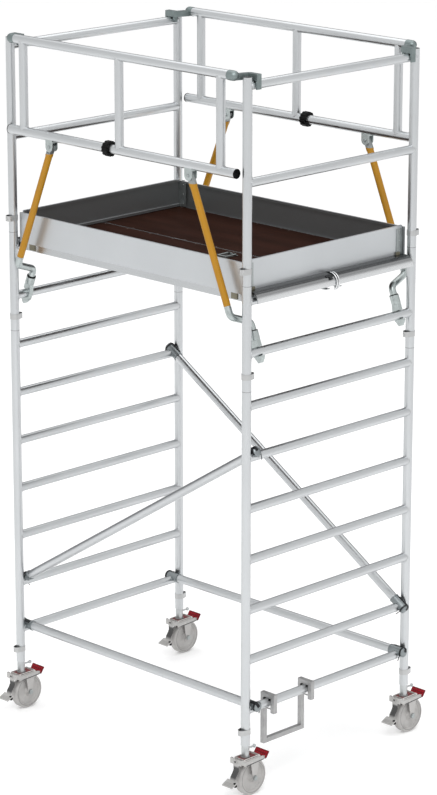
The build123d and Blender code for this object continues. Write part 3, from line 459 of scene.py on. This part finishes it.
# ---- piece builder ----
class Piece:
    """Collects the parts of one mesh object."""

    def __init__(self, name, body, slot, paint=None):
        self.name, self.body, self.slot = name, body, slot
        self.paint = paint or MATS[slot]
        self.verts, self.faces = [], []

    def add(self, verts, faces):
        base = len(self.verts)
        self.verts += [Vector(v) for v in verts]
        self.faces += [tuple(base + i for i in face) for face in faces]

    def sweep(self, points, radius, up, sides=8, closed=False):
        """Round bead along a path; radius may be a number or one number for each point."""
        count = len(points)
        radii = radius if isinstance(radius, (list, tuple)) else [radius] * count
        verts, faces = [], []
        for i, point in enumerate(points):
            before = points[i - 1] if closed or i else point
            after = points[(i + 1) % count] if closed or i < count - 1 else point
            along = (Vector(after) - Vector(before)).normalized()
            across = along.cross(Vector(up)).normalized()
            high = across.cross(along)
            for k in range(sides):
                a = 2 * pi * k / sides
                verts.append(Vector(point) + (across * cos(a) + high * sin(a)) * radii[i])
        for i in range(count if closed else count - 1):
            j = (i + 1) % count
            for k in range(sides):
                m = (k + 1) % sides
                faces.append((i * sides + k, j * sides + k, j * sides + m, i * sides + m))
        if not closed:
            faces.append(tuple(range(sides))[::-1])
            faces.append(tuple((count - 1) * sides + k for k in range(sides)))
        self.add(verts, faces)

    def ribbon(self, points, across, width, thick):
        """Flat spring along a path, with its width along one direction."""
        across = Vector(across).normalized()
        count = len(points)
        verts, faces = [], []
        for i, point in enumerate(points):
            along = Vector(points[min(i + 1, count - 1)]) - Vector(points[max(i - 1, 0)])
            high = along.normalized().cross(across)
            for a, b in ((-1, -1), (1, -1), (1, 1), (-1, 1)):
                verts.append(Vector(point) + across * (a * width / 2) + high * (b * thick / 2))
        for i in range(count - 1):
            for k in range(4):
                m = (k + 1) % 4
                faces.append((4 * i + k, 4 * i + 4 + k, 4 * i + 4 + m, 4 * i + m))
        faces += [(3, 2, 1, 0), tuple(4 * (count - 1) + k for k in range(4))]
        self.add(verts, faces)

    def lathe(self, origin, axis, profile, sides=24, loop=False):
        """Rings of (distance along the axis, radius), closed by caps or into a loop."""
        axis = Vector(axis).normalized()
        helper = Vector((0, 0, 1)) if abs(axis.z) < 0.9 else Vector((1, 0, 0))
        across = axis.cross(helper).normalized()
        high = axis.cross(across)
        verts, faces = [], []
        for along, r in profile:
            centre = Vector(origin) + axis * along
            for k in range(sides):
                a = 2 * pi * k / sides
                verts.append(centre + (across * cos(a) + high * sin(a)) * r)
        count = len(profile)
        for i in range(count if loop else count - 1):
            j = (i + 1) % count
            for k in range(sides):
                m = (k + 1) % sides
                faces.append((i * sides + k, i * sides + m, j * sides + m, j * sides + k))
        if not loop:
            faces.append(tuple(range(sides))[::-1])
            faces.append(tuple((count - 1) * sides + k for k in range(sides)))
        self.add(verts, faces)

    def rivet(self, place, axis, r=0.004, height=0.0018):
        """Domed head that stands on a surface."""
        dome = [(height * t, r * sqrt(max(0.0, 1 - t * t))) for t in (0.0, 0.4, 0.7, 0.9)]
        self.lathe(place, axis, [(-0.0004, r)] + dome, 14)

    def bolt(self, place, axis, r=0.008, height=0.005):
        """Hexagon head with a chamfer, on a washer."""
        self.lathe(place, axis, [(-0.0004, r * 1.35), (0.0012, r * 1.35), (0.0014, r * 1.25)], 24)
        self.lathe(place, axis, [(0.001, r), (height - 0.001, r), (height, r * 0.86)], 6)

    def slab(self, outline, origin, u, v, depth, edge=0.001):
        """Outline in the plane of u and v, raised by depth, with a chamfered top edge."""
        u, v = Vector(u).normalized(), Vector(v).normalized()
        out = u.cross(v)
        mid = Vector((sum(a for a, _ in outline), sum(b for _, b in outline))) / len(outline)
        loops = ((0.0, 0.0), (depth - edge, 0.0), (depth, edge))
        verts = []
        for rise, inset in loops:
            for a, b in outline:
                at = Vector((a, b))
                at += (mid - at).normalized() * inset
                verts.append(Vector(origin) + u * at.x + v * at.y + out * rise)
        n = len(outline)
        faces = [tuple(range(n))[::-1], tuple(2 * n + k for k in range(n))]
        for i in range(2):
            for k in range(n):
                m = (k + 1) % n
                faces.append((i * n + k, i * n + m, (i + 1) * n + m, (i + 1) * n + k))
        self.add(verts, faces)

    def make(self, sharp=38.0):
        mesh = bpy.data.meshes.new(self.name)
        mesh.from_pydata([tuple(v) for v in self.verts], [], self.faces)
        work = bmesh.new()
        work.from_mesh(mesh)
        bmesh.ops.recalc_face_normals(work, faces=work.faces)
        work.to_mesh(mesh)
        work.free()
        mesh.polygons.foreach_set("use_smooth", [True] * len(mesh.polygons))
        mesh.set_sharp_from_angle(angle=radians(sharp))
        obj = bpy.data.objects.new(self.name, mesh)
        obj.data.materials.append(self.paint.mat)
        SCENE.collection.objects.link(obj)
        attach(obj, self.body)
        return obj


def rounded(width, height, r, steps=5):
    """Rounded rectangle about the origin."""
    points = []
    for sx, sy, start in ((1, 1, 0), (-1, 1, 90), (-1, -1, 180), (1, -1, 270)):
        for k in range(steps + 1):
            a = radians(start + 90 * k / steps)
            points.append((sx * (width / 2 - r) + r * cos(a), sy * (height / 2 - r) + r * sin(a)))
    return points


# ---- welds and seams of the frames ----
BEAD_POINTS = 56
BEAD_OUT = 1.02


def circle(r):
    """Angle and place of each point of a weld bead's circle."""
    for k in range(BEAD_POINTS):
        a = 2 * pi * k / BEAD_POINTS
        yield a, r * cos(a), r * sin(a)


def rung_weld(piece, side, face, z):
    """Rippled bead where a rung meets its upright."""
    points, radii = [], []
    for a, dx, dz in circle(RUNG_R):
        y = face * (HALF_Y - sqrt(UPRIGHT_R ** 2 - dx ** 2) - 0.0008)
        points.append((side * HALF_X + dx * BEAD_OUT, y, z + dz * BEAD_OUT))
        radii.append(0.0022 + 0.0004 * sin(14 * a + side + z * 30))
    piece.sweep(points, radii, (0, 1, 0), 6, closed=True)


def post_weld(piece, x, face, z, way):
    """Rippled bead where a guardrail's post meets its rail."""
    points, radii = [], []
    for a, dx, dy in circle(POST_R):
        up = sqrt(UPRIGHT_R ** 2 - dy ** 2) + 0.0006
        points.append((x + dx * BEAD_OUT, face * GUARD_Y + dy * BEAD_OUT, z + way * up))
        radii.append(0.0021 + 0.0004 * sin(13 * a + x * 9))
    piece.sweep(points, radii, (0, 0, 1), 6, closed=True)


def frame_welds():
    for name, side in (("left", -1), ("right", 1)):
        piece = Piece(f"frame_welds_{name}", "tower", "frame_tube", WELD)
        for z in (*RUNGS, *GUARD_RUNGS):
            for face in (-1, 1):
                rung_weld(piece, side, face, z)
        piece.make(60)


def guardrail_welds():
    for name, face in (("front", -1), ("back", 1)):
        piece = Piece(f"guardrail_welds_{name}", "tower", "guard_tube", WELD)
        for x in POSTS:
            for z, way in ((GUARD_LOW, 1), (GUARD_TOP, -1)):
                post_weld(piece, x, face, z, way)
        piece.make(60)


def section_seams():
    """Dark line round each upright where two sections meet."""
    piece = Piece("section_seams", "tower", "frame_tube", SEAM_AND_SHADOW)
    inner, outer = UPRIGHT_R - 0.001, UPRIGHT_R + 0.00015
    loop = [(-0.0009, inner), (-0.0009, outer), (0.0009, outer), (0.0009, inner)]
    for sx, sy in CORNERS.values():
        for z in (LOWER_TOP, MIDDLE_TOP):
            piece.lathe((sx * HALF_X, sy * HALF_Y, z), (0, 0, 1), loop, 40, loop=True)
    piece.make()


def clip_pins():
    """Domed heads of the locking clips' pins."""
    piece = Piece("locking_pin_heads", "tower", "clip_metal")
    for sx, sy in CORNERS.values():
        for base, way in ((LEG_BOTTOM, sy), (LOWER_TOP, -sy), (MIDDLE_TOP, sy)):
            place = (sx * HALF_X, sy * HALF_Y + way * 0.048, base + 0.079)
            piece.rivet(place, (0, way, 0), 0.006, 0.003)
    piece.make()


# ---- claws of the braces ----
CLAW_R = 0.0262
MOUTH = 0.052


def claw_places():
    """Centre, way out and way up of every brace claw."""
    places = []
    for low, high in ((RUNGS[0], RUNGS[0]), (RUNGS[1], RUNGS[5])):
        along = Vector((2 * HALF_X, 0, high - low))
        length = along.length
        along.normalize()
        up = Vector((-along.z, 0, along.x))
        start = Vector((-HALF_X, -BRACE_Y, low)) + up * 0.015
        places += [(start, -along, up), (start + along * length, along, up)]
    half_turn = Matrix.Rotation(pi, 3, "Z")
    return places + [tuple(half_turn @ v for v in place) for place in places]


def brace_claw_detail():
    """Black leaf spring over each claw, its domed nose, and the bead at the socket's mouth."""
    spring = Piece("brace_claw_springs", "tower", "zinc_steel", SPRING)
    bead = Piece("brace_claw_beads", "tower", "cast_claw", CLAW_DARK)
    path = [(-0.036, CLAW_R), (-0.028, 0.0285), (0.0, 0.0290), (0.030, 0.0288), (0.040, 0.0278),
            (0.046, 0.0235), (0.0505, 0.0140), (0.0518, 0.0040)]
    dome = [(0.0415, CLAW_R), (0.0445, 0.0250), (0.0475, 0.0215), (0.0500, 0.0140),
            (0.0507, 0.0060)]
    loop = [(-0.0005, CLAW_R), (-0.0005, 0.0282), (0.005, 0.0282), (0.006, CLAW_R)]
    for centre, out, up in claw_places():
        outside = Vector((0, 1 if centre.y > 0 else -1, 0))
        high = (up * cos(LEAN) + outside * sin(LEAN)).normalized()
        points = [centre + out * a + high * b for a, b in path]
        spring.ribbon(points, out.cross(high), 0.017, 0.0034)
        bead.lathe(centre - out * MOUTH, out, loop, 40, loop=True)
        bead.lathe(centre, out, dome, 36)
        for way in (-1, 1):
            place = centre - out * 0.038 + out.cross(up) * (way * CLAW_R)
            bead.rivet(place, out.cross(up) * way, 0.0055, 0.0022)
    spring.make()
    bead.make()


# ---- platform ----
DECK_FRONT = (-0.82, -0.64, -0.46, -0.28, -0.1, 0.56, 0.68, 0.82)
DECK_BACK = (-0.82, -0.63, -0.43, -0.215, -0.03, 0.03, 0.215, 0.43, 0.63, 0.82)
RIM_R = 0.0505


def deck_rivets():
    """Sunk rivets through the deck along its rails and bearers."""
    piece = Piece("deck_rivets", "tower", "zinc_steel", DARK_RIVET)
    top = DECK_TOP - 0.0005
    rows = [(x, y) for y in (-0.59, -0.016) for x in DECK_FRONT]
    rows += [(x, y) for y in (0.016, 0.59) for x in DECK_BACK]
    for x, y in rows:
        piece.rivet((x, y, top), (0, 0, 1), 0.0045, 0.0008)
    piece.make()


def corner_rivets():
    """Rivets on the angle brackets at the toe boards' corners."""
    piece = Piece("toe_board_rivets", "tower", "zinc_steel")
    for sx, sy in CORNERS.values():
        for z in (2.79, 2.845, 2.9):
            piece.rivet((sx * 0.8652, sy * 0.578, z), (sx, 0, 0), 0.005, 0.0022)
            piece.rivet((sx * 0.822, sy * 0.600, z), (0, -sy, 0), 0.005, 0.0022)
    piece.make()


def toe_end_caps():
    """Caps on the open ends of the long toe boards."""
    piece = Piece("toe_board_end_caps", "tower", "toe_metal", TOE_CAP)
    for sx, sy in CORNERS.values():
        place = (sx * 0.868, sy * 0.6095, 2.836)
        piece.slab(rounded(0.0125, 0.167, 0.001, 2), place, (0, sx, 0), (0, 0, 1), 0.0012, 0.0004)
    piece.make()


def hook_latches():
    """Dark spring latch on one hook profile at each end, beside its flange."""
    piece = Piece("hook_latches", "tower", "zinc_steel", SPRING)
    a = radians(58)
    for sx in (-1, 1):
        out = Vector((sx * cos(a), 0, sin(a)))
        place = Vector((sx * HALF_X, -sx * 0.044, RUNGS[8])) + out * 0.0448
        rise = Vector((-sx * sin(a), 0, cos(a)))
        piece.slab(rounded(0.052, 0.016, 0.004), place, rise.cross(out), rise, 0.0045)
        piece.slab(rounded(0.018, 0.024, 0.004), place - out * 0.001 - rise * 0.014,
                   rise.cross(out), rise, 0.006)
    piece.make()


def flange_rims():
    """Bright rolled rims on the two flanges between the hook profiles."""
    piece = Piece("hook_flange_rims", "tower", "board_metal", RIM)
    for sx in (-1, 1):
        for sy in (-1, 1):
            points = []
            for k in range(25):
                a = radians(-47 + 137 * k / 24)
                points.append((sx * (HALF_X + RIM_R * cos(a)), sy * 0.0082,
                               RUNGS[8] + RIM_R * sin(a)))
            piece.sweep(points, 0.0034, (0, 1, 0), 10)
    piece.make(60)


def hanger_liners():
    """Black rubber in the upper corners of the step's hooks."""
    piece = Piece("step_liners", "hanging_step", "black_plastic")
    z = RUNGS[0]
    for y in (-0.457, -0.166):
        for way in (-1, 1):
            place = (HALF_X + way * 0.0208, y + 0.0145, z + 0.0208)
            piece.slab(rounded(0.0075, 0.0075, 0.001, 2), place, (1, 0, 0), (0, 0, 1), 0.037)
    piece.make()


def hinge_screws():
    """Heads along the trapdoor's hinge leaf, and at the corners of the ring's plate."""
    piece = Piece("hatch_hinge_screws", "hatch", "zinc_steel")
    for k in range(9):
        x = -0.03 + 0.065 * k
        piece.rivet((x, -0.562, DECK_TOP + 0.0027), (0, 0, 1), 0.0042, 0.0013)
    for dx in (-0.033, 0.033):
        for y in (-0.152, -0.06):
            piece.rivet((0.23 + dx, y, DECK_TOP + 0.0022), (0, 0, 1), 0.0035, 0.001)
    piece.make()


# ---- guardrails and struts ----
STRUT_WAY = (0.381, 0.9246)
STRUT_SEAT = (0.9, 0.546, 2.447)


def bracket_bolts():
    """Bolt heads on both cheeks of every strut bracket."""
    piece = Piece("strut_bracket_bolts", "tower", "zinc_steel")
    for sx, sy in CORNERS.values():
        for way in (-1, 1):
            place = (sx * 0.532, sy * GUARD_Y + way * 0.020, 3.34)
            piece.bolt(place, (0, way, 0), 0.008, 0.006)
    piece.make(30)


def strut_sleeves():
    """Wide sleeve over the strut's foot above its hook, with a dark ring at its top."""
    profile = [(0, 0.0215), (0.002, 0.0258), (0.044, 0.0258), (0.048, 0.0235)]
    loop = [(-0.0035, 0.021), (-0.0035, 0.0252), (0.0006, 0.0252), (0.0006, 0.021)]
    for corner, (sx, sy) in CORNERS.items():
        down = Vector((sx * STRUT_WAY[0], 0, -STRUT_WAY[1]))
        seat = Vector((sx * STRUT_SEAT[0], sy * STRUT_SEAT[1], STRUT_SEAT[2]))
        top = seat - down * 0.110
        sleeve = Piece(f"strut_{corner}_sleeve", f"strut_{corner}", "cast_claw", STEEL_TUBE)
        sleeve.lathe(top, down, profile, 40)
        sleeve.make(30)
        ring = Piece(f"strut_{corner}_sleeve_ring", f"strut_{corner}", "black_plastic")
        ring.lathe(top, down, loop, 40, loop=True)
        ring.make(30)


def collar_screws():
    """Raised black lip at both ends of each fluted collar."""
    piece = Piece("collar_screws", "tower", "black_plastic")
    loop = [(-0.001, 0.026), (-0.001, 0.036), (0.0012, 0.0345), (0.0012, 0.0275)]
    for sx, sy in ((-1, -1), (1, 1)):
        for way in (-1, 1):
            x = sx * 0.078 + way * 0.019
            piece.lathe((x, sy * GUARD_Y, GUARD_LOW), (way, 0, 0), loop, 40, loop=True)
    piece.make()


def plug_faces():
    """Dished faces of the black plugs, with a rim."""
    piece = Piece("guardrail_plug_faces", "tower", "black_plastic")
    profile = [(-0.0005, 0.0255), (0.0012, 0.0245), (0.0012, 0.021),
               (0.0004, 0.0195), (0.0004, 0.007), (0.001, 0.005)]
    for sx, sy in CORNERS.values():
        piece.lathe((sx * 0.8655, sy * GUARD_Y, GUARD_LOW), (sx, 0, 0), profile, 36)
    piece.make()


# ---- casters ----
PLATE_HALF_X, PLATE_BACK, PLATE_FRONT = 0.030, 0.062, 0.038
PLATE_POINTS = 72


def reach_of_plate(a):
    """How far the rectangular plate reaches from the stem at an angle."""
    across, along = abs(cos(a)), abs(sin(a))
    limits = []
    if across > 1e-6:
        limits.append(PLATE_HALF_X / across)
    if along > 1e-6:
        limits.append((PLATE_BACK if sin(a) > 0 else PLATE_FRONT) / along)
    return min(limits)


def lock_plate(corner, x, y):
    """Toothed red plate in the fork's tray, about the stem."""
    piece = Piece(f"caster_{corner}_lock_plate", f"caster_{corner}", "red_plastic", LOCK_RED)
    n = PLATE_POINTS
    inner, outer = [], []
    for k in range(n):
        a = 2 * pi * k / n
        tooth, reach = 0.0262 + (0.0018 if k % 4 < 2 else 0.0), reach_of_plate(a)
        inner.append((tooth * cos(a), tooth * sin(a)))
        outer.append((reach * cos(a), reach * sin(a)))
    base = FORK_TOP - 0.008
    verts = [(x + a, y + b, z) for z in (base, base + 0.003) for a, b in inner + outer]
    faces = []
    for k in range(n):
        m = (k + 1) % n
        faces += [(k, m, n + m, n + k), (2 * n + k, 3 * n + k, 3 * n + m, 2 * n + m),
                  (k, 2 * n + k, 2 * n + m, m), (n + k, n + m, 3 * n + m, 3 * n + k)]
    piece.add(verts, faces)
    piece.make(25)


def wheel_detail(corner, x, y):
    """Black rings round the hub that paint the shadow in its recess, and the parting line round
    the tyre on both faces of the wheel.
    """
    centre = Vector((x, y + TRAIL, WHEEL_R))
    piece = Piece(f"caster_{corner}_tyre_line", f"caster_{corner}_roller", "caster_wheel", GROOVE)
    for way in (-1, 1):
        place = centre + Vector((way * 0.0236, 0, 0))
        loop = [(-0.0006, 0.0835), (0.0012, 0.0842), (0.0012, 0.0858), (-0.0006, 0.0865)]
        piece.lathe(place, (way, 0, 0), loop, 64, loop=True)
    piece.make()
    # painted shadow: a black ring round the hub on each face of the wheel
    hub_shade = Piece(f"caster_{corner}_hub_shadow", f"caster_{corner}_roller", "black_plastic")
    for way in (-1, 1):
        place = centre + Vector((way * 0.0228, 0, 0))
        loop = [(-0.002, 0.0125), (0.0004, 0.0125), (0.0004, 0.0205), (-0.002, 0.0205)]
        hub_shade.lathe(place, (way, 0, 0), loop, 36, loop=True)
    hub_shade.make()


def pedal_detail(corner, x, y):
    """Grip ribs on the foot pedal, its buffer, a painted shadow line along the arm, and the front
    spring.
    """
    body = f"caster_{corner}_brake"
    ribs = Piece(f"caster_{corner}_pedal_ribs", body, "lever_metal", PEDAL_RIB)
    low, high = Vector((x, y - 0.140, 0.093)), Vector((x, y - 0.095, 0.114))
    slope = (high - low).normalized()
    for k in range(3):
        at = low + slope * (0.006 + 0.0095 * k)
        ribs.slab(rounded(0.066, 0.0035, 0.0016, 3), at, (1, 0, 0), slope, 0.0016, 0.0006)
    ribs.make()
    # painted shadow: a thin dark strip on each side of the arm
    line = Piece(f"caster_{corner}_arm_shadow", body, "lever_metal", SEAM_AND_SHADOW)
    for way in (-1, 1):
        place = (x + way * 0.0399, y + 0.038, 0.1905)
        line.slab(rounded(0.130, 0.0045, 0.002, 3), place, (0, way, 0.04), (0, -0.04 * way, 1),
                  0.0006, 0.0001)
    line.make()
    tip = Piece(f"caster_{corner}_pedal_buffer", body, "black_plastic")
    tip.lathe((x + 0.028, y - 0.108, 0.102), (0, -0.4, 1),
              [(-0.017, 0.0070), (-0.014, 0.0095), (0.0045, 0.0095), (0.0065, 0.0070)], 24)
    tip.make()
    spring = Piece(f"caster_{corner}_spring", body, "black_plastic")
    turns, count = 5, 90
    coil = [(x + 0.0052 * cos(2 * pi * turns * k / count), y - 0.0765 + 0.022 * k / count,
             0.214 + 0.0052 * sin(2 * pi * turns * k / count)) for k in range(count + 1)]
    spring.sweep(coil, 0.0012, (0, 0, 1), 6)
    spring.make()


def brake_pad(corner, x, y):
    """Studded red pad, which stands for the plain CAD pad."""
    foot, tip = Vector((x, y + 0.1125, 0.194)), Vector((x, y + 0.1368, 0.228))
    slope = (tip - foot).normalized()
    across = Vector((1, 0, 0))
    out = across.cross(slope)
    if out.z < 0:
        across, out = -across, -out
    middle = (foot + tip) / 2 + out * 0.0003
    length = (tip - foot).length
    piece = Piece(f"caster_{corner}_pad", f"caster_{corner}_brake", "red_plastic")
    piece.slab(rounded(0.096, length, 0.005), middle, across, slope, 0.0048, 0.0014)
    obj = piece.make()
    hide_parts(f"caster_{corner}_release_pad")
    studs = Piece(f"caster_{corner}_pad_studs", f"caster_{corner}_brake", "red_plastic", STUD_RED)
    for row in (-1, 1):
        for k in range(6):
            at = middle + slope * (0.0085 * row) + across * (0.0145 * (k - 2.5)) + out * 0.0042
            studs.slab(rounded(0.0105, 0.0125, 0.0024, 3), at, across, slope, 0.0026, 0.0008)
    studs.make()


def fork_detail(corner, x, y):
    """Dark strip on both cheeks of the fork that paints the shadow under the rim of its tray."""
    # painted shadow: thin dark strips under the tray's rim
    rim_shade = Piece(f"caster_{corner}_rim_shadow", f"caster_{corner}", "caster_metal", SEAM_AND_SHADOW)
    for way in (-1, 1):
        place = (x + way * 0.0360, y + 0.014, 0.2205)
        rim_shade.slab(rounded(0.100, 0.0035, 0.0016, 3), place, (0, way, 0), (0, 0, 1), 0.0004, 0.0001)
    rim_shade.make()


def caster_detail():
    for corner, (sx, sy) in CORNERS.items():
        x, y = sx * HALF_X, sy * HALF_Y
        lock_plate(corner, x, y)
        wheel_detail(corner, x, y)
        pedal_detail(corner, x, y)
        brake_pad(corner, x, y)
        fork_detail(corner, x, y)


# ---- shading of the CAD nodes ----
def smooth_tree(weld, sharp):
    """Geometry nodes that merge the tessellation's seams and smooth it up to an angle."""
    tree = bpy.data.node_groups.new("smooth_by_angle", "GeometryNodeTree")
    tree.interface.new_socket("Geometry", in_out="INPUT", socket_type="NodeSocketGeometry")
    tree.interface.new_socket("Geometry", in_out="OUTPUT", socket_type="NodeSocketGeometry")
    make, link = tree.nodes.new, tree.links.new
    first, last = make("NodeGroupInput"), make("NodeGroupOutput")
    drop = make("GeometryNodeRemoveAttribute")
    drop.inputs["Name"].default_value = "custom_normal"
    merge = make("GeometryNodeMergeByDistance")
    merge.inputs["Distance"].default_value = weld
    bend = make("GeometryNodeInputMeshEdgeAngle")
    test = make("FunctionNodeCompare")
    test.data_type, test.operation = "FLOAT", "LESS_THAN"
    test.inputs["B"].default_value = radians(sharp)
    faces, edges = make("GeometryNodeSetShadeSmooth"), make("GeometryNodeSetShadeSmooth")
    faces.domain, edges.domain = "FACE", "EDGE"
    link(first.outputs[0], drop.inputs["Geometry"])
    link(drop.outputs["Geometry"], merge.inputs["Geometry"])
    link(merge.outputs["Geometry"], faces.inputs["Geometry"])
    link(faces.outputs["Geometry"], edges.inputs["Geometry"])
    link(bend.outputs["Unsigned Angle"], test.inputs["A"])
    link(test.outputs["Result"], edges.inputs["Shade Smooth"])
    link(edges.outputs["Geometry"], last.inputs[0])
    return tree


def smooth_nodes():
    """Every CAD node gets the same smoothing as a modifier."""
    tree = smooth_tree(weld=0.00001, sharp=34.0)
    for node in NODES.values():
        modifier = node.modifiers.new("smooth", "NODES")
        modifier.node_group = tree


frame_welds()
guardrail_welds()
section_seams()
clip_pins()
brace_claw_detail()
deck_rivets()
corner_rivets()
toe_end_caps()
hook_latches()
flange_rims()
hanger_liners()
hinge_screws()
bracket_bolts()
strut_sleeves()
collar_screws()
plug_faces()
caster_detail()
smooth_nodes()
